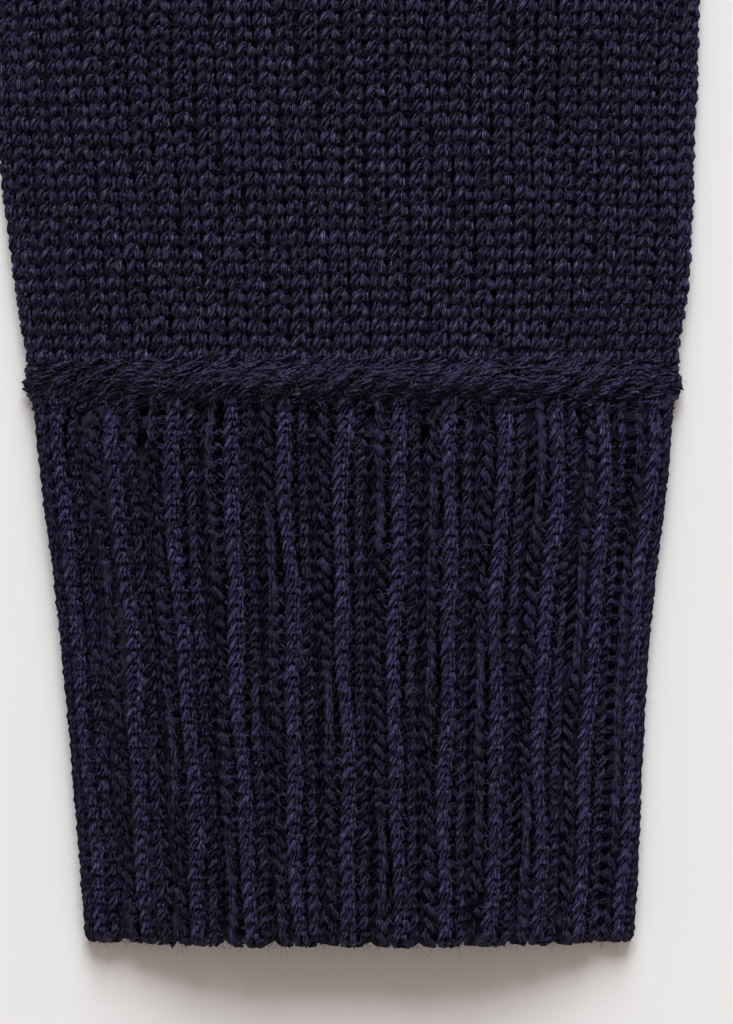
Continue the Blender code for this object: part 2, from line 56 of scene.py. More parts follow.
Streaks = namedtuple("Streaks", "dark bright")
Bed = namedtuple("Bed", "mid depth light")
Piece = namedtuple("Piece", "node slot knit turn levels flat share under")

# The sleeve's cut, as the CAD part has it
SLEEVE_ANGLE = math.radians(46)
INNER_EDGE = (
    EdgePoint(0.000, 0.0433),
    EdgePoint(0.018, 0.0447),
    EdgePoint(0.037, 0.0463),
    EdgePoint(0.056, 0.0482),
    EdgePoint(0.075, 0.0507),
    EdgePoint(0.092, 0.0524),
    EdgePoint(0.102, 0.0540),
    EdgePoint(0.125, 0.0569),
    EdgePoint(0.150, 0.0595),
    EdgePoint(0.300, 0.0745),
    EdgePoint(0.440, 0.0880),
)
OUTER_EDGE = (
    EdgePoint(0.000, 0.0431),
    EdgePoint(0.018, 0.0441),
    EdgePoint(0.037, 0.0449),
    EdgePoint(0.056, 0.0465),
    EdgePoint(0.075, 0.0487),
    EdgePoint(0.092, 0.0500),
    EdgePoint(0.102, 0.0515),
    EdgePoint(0.125, 0.0528),
    EdgePoint(0.150, 0.0538),
    EdgePoint(0.300, 0.0670),
    EdgePoint(0.440, 0.0790),
    EdgePoint(0.500, 0.0765),
    EdgePoint(0.560, 0.0625),
    EdgePoint(0.610, 0.0435),
    EdgePoint(0.641, 0.0310),
)
UNDERARM = np.array((0.262, 0.430))
MIDDLE_HEIGHT = 0.356
BODY_MID = 0.0032
BODY_TURN = 0.006
CUFF_MID = 0.0060
SLEEVE_END_MID = 0.0046
MID_RISE_RATE = 1.5
CUFF_INNER_TURN = 0.007
CUFF_OUTER_TURN = 0.016
CUFF_LENGTH = 0.0849
JOIN_START = 0.0852
JOIN_LENGTH = 0.0066
SLEEVE_START = 0.0921
ALONG = np.array((-math.sin(SLEEVE_ANGLE), math.cos(SLEEVE_ANGLE)))
ACROSS = np.array((math.cos(SLEEVE_ANGLE), math.sin(SLEEVE_ANGLE)))
CUFF_MIDDLE = UNDERARM + ACROSS * INNER_EDGE[-1].across - ALONG * INNER_EDGE[-1].along
CUFF_MIDDLE = CUFF_MIDDLE - (0, MIDDLE_HEIGHT)

# The join's roll stands out further than the CAD part's, and the cuff's top sinks towards it
JOIN_RELIEF = 0.0024
JOIN_SIDE_RELIEF = 0.0016
JOIN_EDGE_SHARE = 0.05
CUFF_END_DROP = 0.0016
CUFF_END_REACH = 0.006

# Knit: counts over the upper half of the tube, and heights of its rows
SLEEVE_WALES = 34
SLEEVE_ROW = 0.00231
SLEEVE_FIRST_ROW = SLEEVE_START + 0.0010
CUFF_RIBS = 12
RIB_WALES = 3
CUFF_WALES = CUFF_RIBS * RIB_WALES
CUFF_ROW = 0.00227
CUFF_FIRST_ROW = 0.0015
CUFF_LAST_ROW = CUFF_LENGTH + 0.0012
CUFF_RIB_SPREAD = 0.10
RIB_RELIEF = 0.0026
RIB_EDGE = 1.5

# Where in a rib its wales lie, and by that place how deep the yarn lies and how much shade is
# painted on it
RIB_PLACES = (
    (0.00, 0.000),
    (0.50, 0.125),
    (0.78, 0.245),
    (1.00, 0.345),
    (1.50, 0.550),
    (2.00, 0.765),
    (2.22, 0.830),
    (2.50, 0.905),
    (3.00, 1.000),
)
RIB_DEPTHS = (
    (0.00, 1.00),
    (0.08, 0.98),
    (0.12, 0.78),
    (0.155, 0.38),
    (0.19, 0.10),
    (0.23, 0.00),
    (0.30, 0.04),
    (0.42, 0.10),
    (0.55, 0.10),
    (0.70, 0.08),
    (0.80, 0.00),
    (0.86, 0.00),
    (0.895, 0.15),
    (0.925, 0.55),
    (0.955, 0.92),
    (1.00, 1.00),
)
# Painted shade across a rib, as a share of the relief added to the yarn's depth: dark in the
# grooves, and a painted highlight on the cords' edges where it is below zero
RIB_SHADES = (
    (0.00, 1.00),
    (0.12, 0.92),
    (0.20, 0.66),
    (0.28, 0.46),
    (0.34, -0.04),
    (0.40, -0.24),
    (0.50, 0.06),
    (0.60, 0.06),
    (0.68, -0.24),
    (0.74, -0.04),
    (0.80, 0.44),
    (0.88, 0.66),
    (0.94, 0.92),
    (1.00, 1.00),
)

# How far up the sleeve the yarn goes, and where its end and its bed's meet the plain cloth
YARN_REACH = 0.166
YARN_END_START = 0.147
YARN_END_LENGTH = 0.022
YARN_END_DROP = 0.0028
BED_END_START = 0.153
BED_END_LENGTH = 0.026
BED_SHADE_END = 0.160

# Grids of the surfaces under the yarn: margin and step in wales, then start, end and step
# along the sleeve
RING_SAMPLES = 500
RING_UNDER = 170
PLAIN_GRID_WALES = (5.0, 0.1)
RIB_GRID_WALES = (6.0, 0.05)
SLEEVE_GRID = (SLEEVE_START - 0.004, YARN_REACH + 0.03, 0.002)
JOIN_GRID = (JOIN_START - 0.003, JOIN_START + JOIN_LENGTH + 0.003, 0.0005)
CUFF_GRID = (-0.004, CUFF_LENGTH + 0.006, 0.002)

# Near the cuff the fold edges are pressed flatter than the CAD part's
EDGE_PRESS = 0.58
EDGE_PRESS_WIDTH = 0.028
EDGE_PRESS_FADE = 0.060
EDGE_WALES = 2.0
EDGE_CALM = 0.55

# Yarn: plies round a centre line, whose girth swells in two waves, and its maps
PLIES = 3
PLY_SIDES = 3
PLY_RADIUS = 0.00040
PLY_OFFSET = 0.00030
PLY_PITCH = 0.0078
PLAIN_YARN = 1.30
RIB_YARN = 1.06
JOIN_YARN = 0.64
SWELL = 0.10
SWELL_LENGTH = 0.0031
FINE_SWELL = 0.06
FINE_SWELL_LENGTH = 0.0012
MAP_AROUND = 3.0
MAP_SHIFT = 7.3
BAKE_MARGIN = 0.05

# Stitches: steps through half of one in turns, their shapes, and how far they stray
HALF_STITCH = (0.0, 0.20, 0.35, 0.50, 0.65, 0.80)
PLAIN_STITCH = Stitch(
    pinch=0.180,
    narrow=0.058,
    tall=0.00148,
    deep=0.00085,
    tilt=-0.00060,
    sink=0.00080,
    stray=0.028,
    swell=0.0008,
    low=SLEEVE_START - 0.0010,
)
RIB_STITCH = Stitch(
    pinch=0.190,
    narrow=0.115,
    tall=0.00225,
    deep=0.00095,
    tilt=-0.00010,
    sink=0.00085,
    stray=0.020,
    swell=0.0004,
    low=0.0,
)
TALL_STRAY = 0.06
ROW_STRAY = 0.00007
SINK_STRAY = 0.00009
PRESSED_BELOW = 0.25
ROW_WAVE = Wave(0.00022, 160, 0.55, 0.0)
WANDER_WAVES = (Wave(0.10, 95, 0.7, 0.0), Wave(0.06, 230, 1.9, 1.0))
PLAIN_YARN_ENDS = (-3, SLEEVE_WALES + 4)
RIB_YARN_ENDS = (-4, CUFF_WALES + 4)

# The join's roll: each pair is a mean and a spread, or a least and a most
JOIN_STRANDS = 2400
STRAND_STEPS = 6
STRAND_SLOPE = (0.0012, 0.0007)
STRAND_STARTS = (-3.0, SLEEVE_WALES + 1.6)
STRAND_WALES = (0.7, 1.4)
STRAND_MARGIN = 0.0006
STRAND_BEND = 0.0002
STRAND_BENDS = 5
STRAND_LAYERS = (-0.0002, 0.0007)
STRAND_END_SINK = 0.0008
STRAND_END_SHARE = 0.8
STRAND_EDGE_SINK = 0.0003
BUNDLE_SLANT = 300
BUNDLE_WALES = 1.35
BUNDLE_SINK = 0.0005

# Fuzz: short hairs, and where they grow, in wales
SLEEVE_FUZZ = Fuzz(hairs=5200, stand=0.7, longest=0.0030, edge_hairs=0)
JOIN_FUZZ = Fuzz(hairs=1800, stand=0.9, longest=0.0036, edge_hairs=0)
CUFF_FUZZ = Fuzz(hairs=6700, stand=0.7, longest=0.0034, edge_hairs=700)
PLAIN_FUZZ_ENDS = (-2.0, SLEEVE_WALES + 2.0)
RIB_FUZZ_ENDS = (-3.0, CUFF_WALES + 3.0)
CUFF_FUZZ_START = -0.0005
EDGE_HAIR_BAND = (-0.0003, 0.0012)
HAIR_ROOT = 0.0002
HAIR_SHORTEST = 0.0006
HAIR_SHARES = (0.5, 1.0)
HAIR_HALF_WIDTHS = (0.000014, 0.000028)
HAIR_STEPS = 4
HAIR_CURLS = (0.15, 0.75)
HAIR_BEND = 0.5
HAIR_TAPER = 0.25
HAIR_TWIST = 0.25

# Colours, and each yarn's darkest and brightest fibre as shares of its tint. The dark share is
# painted shade between the fibres and the bright share painted glints; the pieces' pairs differ,
# so the same yarn is painted lighter on some pieces than on others.
NAVY = (0.0158, 0.0139, 0.0450)
PURPLE = (0.0290, 0.0178, 0.0635)
INK = (0.0089, 0.0089, 0.0236)
# Pale fibres in the yarn, which also stand as painted glints
PALE_FIBRE_AND_GLINT = (0.128, 0.117, 0.235)
# Painted shade: the bed, the knit's back, is coloured darker than the yarn, as the shade between its
# loops
BED_COLOUR = (0.0120, 0.0108, 0.0210)
HAIR_COLOURS = ((0.018, 0.016, 0.034), (0.045, 0.040, 0.072), (0.14, 0.13, 0.19))
YARN_STREAKS = {
    "sleeve_left": Streaks(0.08, 1.54),
    "cuff_join_left": Streaks(0.36, 1.85),
    "cuff_left": Streaks(0.22, 3.70),
}

# Beds under the yarn: the height of their tube's middle, how far they are drawn in, and how
# light they are. Their dark colour is painted shade between the loops, painted lighter on some
# pieces than on others. They are drawn in less near the fold edges, and more at the cuff's top.
YARN_BEDS = {
    "sleeve_left": Bed(SLEEVE_END_MID, 0.0020, 2.0),
    "cuff_left": Bed(CUFF_MID, 0.0024, 2.4),
    "cuff_join_left": Bed(SLEEVE_END_MID, 0.0010, 1.2),
}
BED_CORE = 0.040
BED_EDGE_WIDTH = 0.005
BED_EDGE_SHARE = 0.30
BED_CUFF_END = 1.6

# Shells: relief of their stitches, and how their meshes are made. The hem's long faces are cut
# at these heights, so that its rounded ends don't shade the rest.
STITCH_SIZES = {"plain": (0.0032, SLEEVE_ROW), "rib": (0.0028, CUFF_ROW)}
LEG_SLOPE = 1.1
LEG_ROUNDNESS = 0.6
MERGE_DISTANCE = 1e-6
FLAT_ANGLE = math.radians(40)
ANY_SHAPE = math.radians(180)
CREASE_ANGLE = math.radians(55)
SHARP_ANGLE = math.radians(50)
HEM_CUTS = (-0.3545, -0.3240, -0.2930)

# Studio
FLOOR_SIZE = 60.0
FLOOR_GAP = 0.0002
KEY_ELEVATION = math.radians(32)
KEY_TURN = math.radians(2)
KEY_DISTANCE = 6.0
KEY_WIDTH = 3.0
KEY_LENGTH = 4.5
KEY_POWER = 480.0
KEY_COLOUR = (0.925, 1.005, 1.055)
SKY_COLOUR = (0.445, 0.370, 0.332)

# Camera over the cuff: the photograph's middle in the sleeve's frame, and what its height spans
VIEW_ACROSS = 0.0010
VIEW_ALONG = 0.0681
VIEW_SPAN = 0.1618
VIEW_HEIGHT = 0.60
CLOTH_TOP = 0.010
SENSOR = 36.0
CLIP_START = 0.01
CLIP_END = 200.0

rng = np.random.default_rng(46)


def through(table, at):
    """Value at a place on the smooth curve through a table's rows."""
    places, values = (np.array(column) for column in zip(*table))
    slopes = np.gradient(values, places)
    at = np.clip(at, places[0], places[-1])
    row = np.clip(np.searchsorted(places, at, side="right") - 1, 0, len(places) - 2)
    span = places[row + 1] - places[row]
    t = (at - places[row]) / span
    return (
        values[row] * (2 * t**3 - 3 * t**2 + 1)
        + slopes[row] * span * (t**3 - 2 * t**2 + t)
        + values[row + 1] * (3 * t**2 - 2 * t**3)
        + slopes[row + 1] * span * (t**3 - t**2)
    )


def turned(distance, turn):
    """Share of its full height that cloth has at a distance from a fold edge."""
    return np.sqrt(1 - (1 - np.clip(distance / turn, 0, 1)) ** 2)


def smooth_step(value):
    value = np.clip(value, 0, 1)
    return value * value * (3 - 2 * value)


def unit(vectors):
    return vectors / np.linalg.norm(vectors, axis=-1, keepdims=True)


def to_frame(points):
    """Points given as across, along and height, in the CAD frame."""
    plan = CUFF_MIDDLE + points[..., :1] * ACROSS + points[..., 1:2] * ALONG
    return np.concatenate([plan, points[..., 2:]], axis=-1)


def above_floor(points):
    points[:, 2] = np.maximum(points[:, 2], 0)
    return points


def vectors_to_frame(vectors):
    plan = vectors[..., :1] * ACROSS + vectors[..., 1:2] * ALONG
    return np.concatenate([plan, vectors[..., 2:]], axis=-1)


def in_sleeve(points):
    """CAD points as across, along and height in the sleeve's frame."""
    offset = points[..., :2] - CUFF_MIDDLE
    return np.stack([offset @ ACROSS, offset @ ALONG, points[..., 2]], axis=-1)


def edge_press(across, along):
    """Share of its height that the cloth keeps, which is less near both fold edges."""
    inside = np.minimum(across + through(INNER_EDGE, along), through(OUTER_EDGE, along) - across)
    near = 1 - smooth_step(inside / EDGE_PRESS_WIDTH)
    fade = 1 - smooth_step((along - YARN_REACH) / EDGE_PRESS_FADE)
    return 1 - EDGE_PRESS * near * fade


def cuff_end_drop(along):
    """How far the cuff's top sinks towards the join."""
    return CUFF_END_DROP * smooth_step((along - CUFF_LENGTH + CUFF_END_REACH) / CUFF_END_REACH)


# Each of these gives the height of a tube's fold edges, its rise from there to its top, how
# far from its inner and outer edge it is level, and how far it stands out to both sides.

def cuff_heights(along, share):
    rise = CUFF_MID - cuff_end_drop(along)
    return CUFF_MID, rise, CUFF_INNER_TURN, CUFF_OUTER_TURN, 0.0


def join_heights(along, share):
    row = np.clip((along - JOIN_START) / JOIN_LENGTH, 0, 1)
    swell = math.sin(math.pi * (JOIN_EDGE_SHARE + (1 - 2 * JOIN_EDGE_SHARE) * row))
    rise = SLEEVE_END_MID + JOIN_RELIEF * swell
    side = JOIN_SIDE_RELIEF * math.sqrt(swell)
    return SLEEVE_END_MID, rise, CUFF_INNER_TURN, CUFF_OUTER_TURN, side


def sleeve_heights(along, share):
    reach = (INNER_EDGE[-1].along - SLEEVE_START) * (1 - share)
    reach = reach + (OUTER_EDGE[-1].along - SLEEVE_START) * share
    row = np.clip((along - SLEEVE_START) / reach, 0, 1)
    mid = SLEEVE_END_MID + (BODY_MID - SLEEVE_END_MID) * smooth_step(row * MID_RISE_RATE)
    outer_turn = CUFF_OUTER_TURN + (BODY_TURN - CUFF_OUTER_TURN) * row
    return mid, mid, BODY_TURN, outer_turn, 0.0


def ring_at(along, heights):
    """A lying tube's outer surface, from below over its inner fold edge to its outer one and under.

    Gives the points as across and height, and how far each lies from the inner fold edge as a
    share of the upper half's length. The inner edge is left and the outer one right.
    """
    share = (1 - np.cos(np.linspace(0, math.pi, RING_SAMPLES))) / 2
    mid, rise, left_turn, right_turn, side = heights(along, share)
    left = through(INNER_EDGE, along) + side
    right = through(OUTER_EDGE, along) + side
    across = -left + share * (left + right)
    full = turned(across + left, left_turn) * turned(right - across, right_turn)
    upper = np.stack([across, mid + rise * full], axis=1)
    under = np.stack([across, mid - mid * full], axis=1)
    ring = np.concatenate([under[RING_UNDER:0:-1], upper, under[-2 : -RING_UNDER - 1 : -1]])
    length = np.concatenate([[0], np.cumsum(np.linalg.norm(np.diff(ring, axis=0), axis=1))])
    start, end = length[RING_UNDER], length[RING_UNDER + RING_SAMPLES - 1]
    ring[:, 1] *= edge_press(ring[:, 0], along)
    return ring, (length - start) / (end - start)


def section_normals(points):
    """Outward normals of rows of points that run from left to right over the top."""
    run = unit(np.gradient(points[..., (0, 2)], axis=1))
    normals = np.zeros_like(points)
    normals[..., 0] = -run[..., 1]
    normals[..., 2] = run[..., 0]
    return normals


class Surface:
    """Outer surface near the cuff, on a grid of wale numbers by distances along the sleeve.

    count is how many wales its upper side has, and depths how much shade is painted on each wale's
    yarn, as a depth.
    """

    def __init__(self, wales, alongs, points, depths, count):
        self.count = count
        self.wales = wales
        self.alongs = alongs
        self.points = points
        self.depths = depths
        self.normals = section_normals(points)

    # Painted shade: how much shade is painted on the yarn at a wale, as a depth
    def depth(self, wale):
        return np.interp(wale, self.wales, self.depths)

    def calm(self, wale):
        """Share of its relief that the knit keeps, which is less round the fold edges."""
        away = np.minimum(np.abs(wale), np.abs(self.count - wale))
        return 1 - EDGE_CALM * (1 - smooth_step(away / EDGE_WALES))

    def at(self, wale, along):
        """Points and normals, in the sleeve's frame."""
        column = (wale - self.wales[0]) / (self.wales[1] - self.wales[0])
        row = (along - self.alongs[0]) / (self.alongs[1] - self.alongs[0])
        column = np.clip(column, 0, len(self.wales) - 1.001)
        row = np.clip(row, 0, len(self.alongs) - 1.001)
        c, r = column.astype(int), row.astype(int)
        dc, dr = (column - c)[..., None], (row - r)[..., None]
        found = [
            grid[r, c] * (1 - dc) * (1 - dr)
            + grid[r, c + 1] * dc * (1 - dr)
            + grid[r + 1, c] * (1 - dc) * dr
            + grid[r + 1, c + 1] * dc * dr
            for grid in (self.points, self.normals)
        ]
        found[0][..., 1] = along
        return found[0], unit(found[1])


def plain_surface(wales, alongs, count, heights):
    points = np.zeros((len(alongs), len(wales), 3))
    for row, along in enumerate(alongs):
        ring, share = ring_at(along, heights)
        for axis, value in ((0, ring[:, 0]), (2, ring[:, 1])):
            points[row, :, axis] = np.interp(wales / count, share, value)
        points[row, :, 1] = along
    return Surface(wales, alongs, points, np.zeros(len(wales)), count)


def wale_grid(count, margin, step):
    return np.arange(-margin, count + margin + step / 2, step)


def sleeve_surface():
    wales = wale_grid(SLEEVE_WALES, *PLAIN_GRID_WALES)
    return plain_surface(wales, np.arange(*SLEEVE_GRID), SLEEVE_WALES, sleeve_heights)


def join_surface():
    wales = wale_grid(SLEEVE_WALES, *PLAIN_GRID_WALES)
    return plain_surface(wales, np.arange(*JOIN_GRID), SLEEVE_WALES, join_heights)


def rib_place(wale):
    """Share of the cuff's upper half at a wale, how deep in a groove it lies, and its painted shade.
    """
    rib = np.floor(wale / RIB_WALES)
    within = wale - rib * RIB_WALES
    place = through(RIB_PLACES, within)
    even = (rib + place) / CUFF_RIBS
    share = even + CUFF_RIB_SPREAD * even * (1 - even)
    share = np.where(even < 0, even * (1 + CUFF_RIB_SPREAD), share)
    share = np.where(even > 1, 1 + (even - 1) * (1 - CUFF_RIB_SPREAD), share)
    edge = np.minimum(np.abs(even), np.abs(even - 1)) * CUFF_RIBS
    depth = through(RIB_DEPTHS, place) * smooth_step(edge / RIB_EDGE)
    return share, depth, through(RIB_SHADES, place)


def cuff_surface():
    wales = wale_grid(CUFF_WALES, *RIB_GRID_WALES)
    share, depth, shade = rib_place(wales)
    smooth = plain_surface(share, np.arange(*CUFF_GRID), 1.0, cuff_heights)
    grooved = smooth.points - smooth.normals * (depth * RIB_RELIEF)[None, :, None]
    # Painted shade: the depths passed on are the rib's painted shade, not the grooves' depths
    return Surface(wales, smooth.alongs, grooved, shade * RIB_RELIEF, CUFF_WALES)


def mesh_object(name, points, faces, maps=None, depth=None):
    """A mesh of triangles or quads.

    maps gives a pair for each face corner, and depth how far below the cloth's top each point
    lies, in millimetres, with the cuff's painted groove shade added; the yarn's material paints
    shade from it, darker where deeper.
    """
    mesh = bpy.data.meshes.new(name)
    corners = faces.shape[1]
    mesh.vertices.add(len(points))
    mesh.vertices.foreach_set("co", np.ascontiguousarray(points, np.float32).ravel())
    mesh.loops.add(faces.size)
    mesh.loops.foreach_set("vertex_index", np.ascontiguousarray(faces, np.int32).ravel())
    mesh.polygons.add(len(faces))
    mesh.polygons.foreach_set("loop_start", np.arange(0, faces.size, corners, dtype=np.int32))
    mesh.update(calc_edges=True)
    mesh.shade_smooth()
    for map_name, pairs in (maps or {}).items():
        layer = mesh.uv_layers.new(name=map_name)
        layer.data.foreach_set("uv", np.ascontiguousarray(pairs, np.float32).ravel())
    if depth is not None:
        values = mesh.attributes.new("Depth", "FLOAT", "POINT")
        values.data.foreach_set("value", np.ascontiguousarray(depth, np.float32).ravel())
    shown = bpy.data.objects.new(name, mesh)
    bpy.context.scene.collection.objects.link(shown)
    return shown


def plied_yarn(name, centre, normal, depth, radius_scale=1.0, plies=PLIES):
    """One object of yarns laid along rows of centre points, each yarn of twisted plies."""
    rows, count = centre.shape[:2]
    tangent = unit(np.gradient(centre, axis=1))
    normal = unit(normal - (normal * tangent).sum(-1, keepdims=True) * tangent)
    side = np.cross(tangent, normal)
    steps = np.linalg.norm(np.diff(centre, axis=1), axis=-1)
    length = np.concatenate([np.zeros((rows, 1)), np.cumsum(steps, axis=1)], axis=1)
    start = rng.uniform(0, 2 * math.pi, (rows, 1))
    girth = 1 + SWELL * np.sin(length / SWELL_LENGTH + start)
    girth = girth + FINE_SWELL * np.sin(length / FINE_SWELL_LENGTH + 3 * start)
    radius = PLY_RADIUS * radius_scale * girth
    offset = PLY_OFFSET * radius_scale * girth * (plies > 1)
    tubes, depths = [], []
    for ply in range(plies):
        turn = start + 2 * math.pi * (ply / plies + length / PLY_PITCH)
        ring, ring_depths = [], []
        for corner in range(PLY_SIDES):
            angle = turn + math.pi * (2 * corner + 1) / PLY_SIDES
            rise = offset * np.cos(turn) + radius * np.cos(angle)
            aside = offset * np.sin(turn) + radius * np.sin(angle)
            ring.append(centre + rise[..., None] * normal + aside[..., None] * side)
            # Painted shade: each corner's depth in millimetres below the cloth's top, so a ply is
            # painted darker where it turns under
            ring_depths.append((depth - rise) * 1000)
        tubes.append(np.stack(ring, axis=2))
        depths.append(np.stack(ring_depths, axis=2))
    points = above_floor(to_frame(np.stack(tubes, axis=1).reshape(-1, 3)))
    depths = np.stack(depths, axis=1)
    length = np.repeat(length, plies, axis=0)
    return tube_mesh(name, points, rows * plies, count, PLY_SIDES, length, depths)


def tube_mesh(name, points, tubes, count, sides, length, depth):
    """Open tubes of equal make, with a map in millimetres of yarn and one for baking."""
    ranges = (np.arange(tubes), np.arange(count - 1), np.arange(sides))
    tube, step, corner = np.meshgrid(*ranges, indexing="ij")
    first = (tube * count + step) * sides
    then = first + sides
    beside = (corner + 1) % sides
    faces = np.stack([first + corner, first + beside, then + beside, then + corner], axis=-1)
    low, high = length[tube, step] * 1000, length[tube, step + 1] * 1000
    around = corner / sides * MAP_AROUND + tube * MAP_SHIFT
    next_around = around + MAP_AROUND / sides
    yarn = np.stack([low, around, low, next_around, high, next_around, high, around], axis=-1)
    strip = (tube * sides + corner + BAKE_MARGIN) / (tubes * sides)
    strip_end = (tube * sides + corner + 1 - BAKE_MARGIN) / (tubes * sides)
    here, there = step / (count - 1), (step + 1) / (count - 1)
    bake = np.stack([here, strip, here, strip_end, there, strip_end, there, strip], axis=-1)
    maps = {"Yarn": yarn.reshape(-1, 2), "OFBake": bake.reshape(-1, 2)}
    return mesh_object(name, points, faces.reshape(-1, 4), maps, depth)


def stitch_path(stitches):
    """Parameter of a yarn through a row of stitches, in whole turns, one turn a stitch."""
    half = np.array(HALF_STITCH) / 2
    turn = np.concatenate([half, half + 0.5])
    return (np.arange(stitches)[:, None] + turn).ravel()


def per_stitch(rows, stitches, turn, size):
    """Random offsets, one for each stitch, eased from stitch to stitch along the yarn."""
    values = rng.normal(0, size, (rows, stitches + 1))
    place = np.clip(turn - 0.5, 0, stitches - 1e-6)
    low = place.astype(int)
    share = smooth_step(place - low)
    return values[:, low] * (1 - share) + values[:, low + 1] * share


def wave_at(wave, wale, along):
    return wave.size * np.sin(along * wave.per_metre + wale * wave.per_wale + wave.phase)


def knit_rows(surface, rows, first, last, stitch):
    """Centre points, normals and depths of these rows' yarns, over the wales from first to last. The
    depths, how far the yarn is sunk plus the surface's painted shade, set how dark the yarn is
    painted.

    A stitch's pinch and narrow shape it sideways, tall along the sleeve, and deep and tilt in
    depth. sink lowers it, swell keeps it up where the knit is calm, stray is how far it strays
    in wales, and the rows are pressed together below the line low.
    """
    stitches = last - first
    turn = stitch_path(stitches)
    angle = 2 * math.pi * turn
    count = len(rows)
    wale = first + turn + stitch.pinch * np.sin(2 * angle) + stitch.narrow * np.sin(angle)
    wale = wale + per_stitch(count, stitches, turn, stitch.stray)
    lift = stitch.tall * np.cos(angle) * (1 + per_stitch(count, stitches, turn, TALL_STRAY))
    along = rows[:, None] + lift + per_stitch(count, stitches, turn, ROW_STRAY)
    along = along + wave_at(ROW_WAVE, wale, rows[:, None])
    pressed = np.where(along < stitch.low, PRESSED_BELOW, 1.0)
    along = stitch.low + pressed * (along - stitch.low)
    wale = wale + sum(wave_at(wave, wale, along) for wave in WANDER_WAVES)
    relief = stitch.deep * np.cos(2 * angle) - stitch.tilt * np.cos(angle)
    relief = relief + per_stitch(count, stitches, turn, SINK_STRAY)
    sunk = (stitch.sink + relief + stitch.swell) * surface.calm(wale) - stitch.swell
    points, normals = surface.at(wale, along)
    return points - normals * sunk[..., None], normals, surface.depth(wale) + sunk


def build_sleeve_yarn(surface):
    """Plain knit above the cuff, in two pieces of whole rows."""
    rows = np.arange(SLEEVE_FIRST_ROW, YARN_REACH, SLEEVE_ROW)
    made = []
    for part, chosen in enumerate(np.array_split(rows, 2)):
        centre, normal, depth = knit_rows(surface, chosen, *PLAIN_YARN_ENDS, PLAIN_STITCH)
        near_end = smooth_step((chosen[:, None] - YARN_END_START) / YARN_END_LENGTH)
        centre[..., 2] -= YARN_END_DROP * near_end
        made.append(plied_yarn(f"sleeve_left_yarn_{part + 1}", centre, normal, depth, PLAIN_YARN))
    return made


def build_cuff_yarn(surface):
    """Ribs of two knit columns, with the third column down in the groove, in two pieces."""
    rows = np.arange(CUFF_FIRST_ROW, CUFF_LAST_ROW, CUFF_ROW)
    made = []
    for part, chosen in enumerate(np.array_split(rows, 2)):
        centre, normal, depth = knit_rows(surface, chosen, *RIB_YARN_ENDS, RIB_STITCH)
        made.append(plied_yarn(f"cuff_left_yarn_{part + 1}", centre, normal, depth, RIB_YARN))
    return made


def build_join_yarn(surface):
    """The seam's roll: short thin strands in layers and slanting bundles, nearly along it."""
    strands = (JOIN_STRANDS, 1)
    steps = np.linspace(0, 1, STRAND_STEPS)
    slope = rng.normal(*STRAND_SLOPE, strands)
    wale = rng.uniform(*STRAND_STARTS, strands) + rng.uniform(*STRAND_WALES, strands) * steps
    lowest, highest = JOIN_START - STRAND_MARGIN, JOIN_START + JOIN_LENGTH + STRAND_MARGIN
    along = rng.uniform(lowest, highest, strands)
    along = along + slope * (steps - 0.5) + STRAND_BEND * np.sin(STRAND_BENDS * steps + wale)
    points, normals = surface.at(wale, along)
    slant = (along - JOIN_START) * BUNDLE_SLANT
    bundle = np.cos(2 * math.pi * (wale - slant) / BUNDLE_WALES)
    ends = STRAND_END_SHARE - np.sin(math.pi * steps)
    sunk = rng.uniform(*STRAND_LAYERS, strands) + STRAND_END_SINK * ends + BUNDLE_SINK * bundle
    sunk = sunk + STRAND_EDGE_SINK * (1 - surface.calm(wale))
    points = points - normals * sunk[..., None]
    # Painted shade: how far each strand is sunk sets how dark it is painted
    return [plied_yarn("cuff_join_left_yarn", points, normals, sunk, JOIN_YARN, 1)]


def node(tree, kind, inputs=None, **settings):
    made = tree.nodes.new(kind)
    for key, value in settings.items():
        setattr(made, key, value)
    for key, value in (inputs or {}).items():
        if isinstance(value, bpy.types.NodeSocket):
            tree.links.new(value, made.inputs[key])
        else:
            made.inputs[key].default_value = value
    return made


def math_of(tree, operation, first, second=0.0):
    return node(tree, "ShaderNodeMath", {0: first, 1: second}, operation=operation).outputs[0]


def blank_material(name):
    material = bpy.data.materials.new(name)
    material.use_nodes = True
    return material, material.node_tree, material.node_tree.nodes["Principled BSDF"]


def ramp_of(tree, value, stops):
    ramp = node(tree, "ShaderNodeValToRGB", {"Fac": value})
    elements = ramp.color_ramp.elements
    while len(elements) < len(stops):
        elements.new(0.5)
    for element, (place, colour) in zip(elements, stops):
        element.position = place
        element.color = (*colour, 1.0)
    return ramp.outputs["Color"]


def mixed_colour(tree, share, first, second, blend="MIX"):
    mix = node(tree, "ShaderNodeMix", data_type="RGBA", blend_type=blend)
    for socket, value in ((mix.inputs[0], share), (mix.inputs[6], first), (mix.inputs[7], second)):
        if isinstance(value, bpy.types.NodeSocket):
            tree.links.new(value, socket)
        else:
            socket.default_value = value if isinstance(value, float) else (*value, 1.0)
    return mix.outputs[2]


def noise_of(tree, place, scale, **more):
    inputs = {"Vector": place, "Scale": scale, **more}
    return node(tree, "ShaderNodeTexNoise", inputs).outputs["Fac"]


def mapped(tree, place, **more):
    return node(tree, "ShaderNodeMapping", {"Vector": place, **more}).outputs[0]


def ranged(tree, value, span, results=(0.0, 1.0)):
    """Value moved from one span to another, and held inside it."""
    inputs = {"Value": value, "From Min": span[0], "From Max": span[1]}
    inputs |= {"To Min": results[0], "To Max": results[1]}
    return node(tree, "ShaderNodeMapRange", inputs).outputs[0]


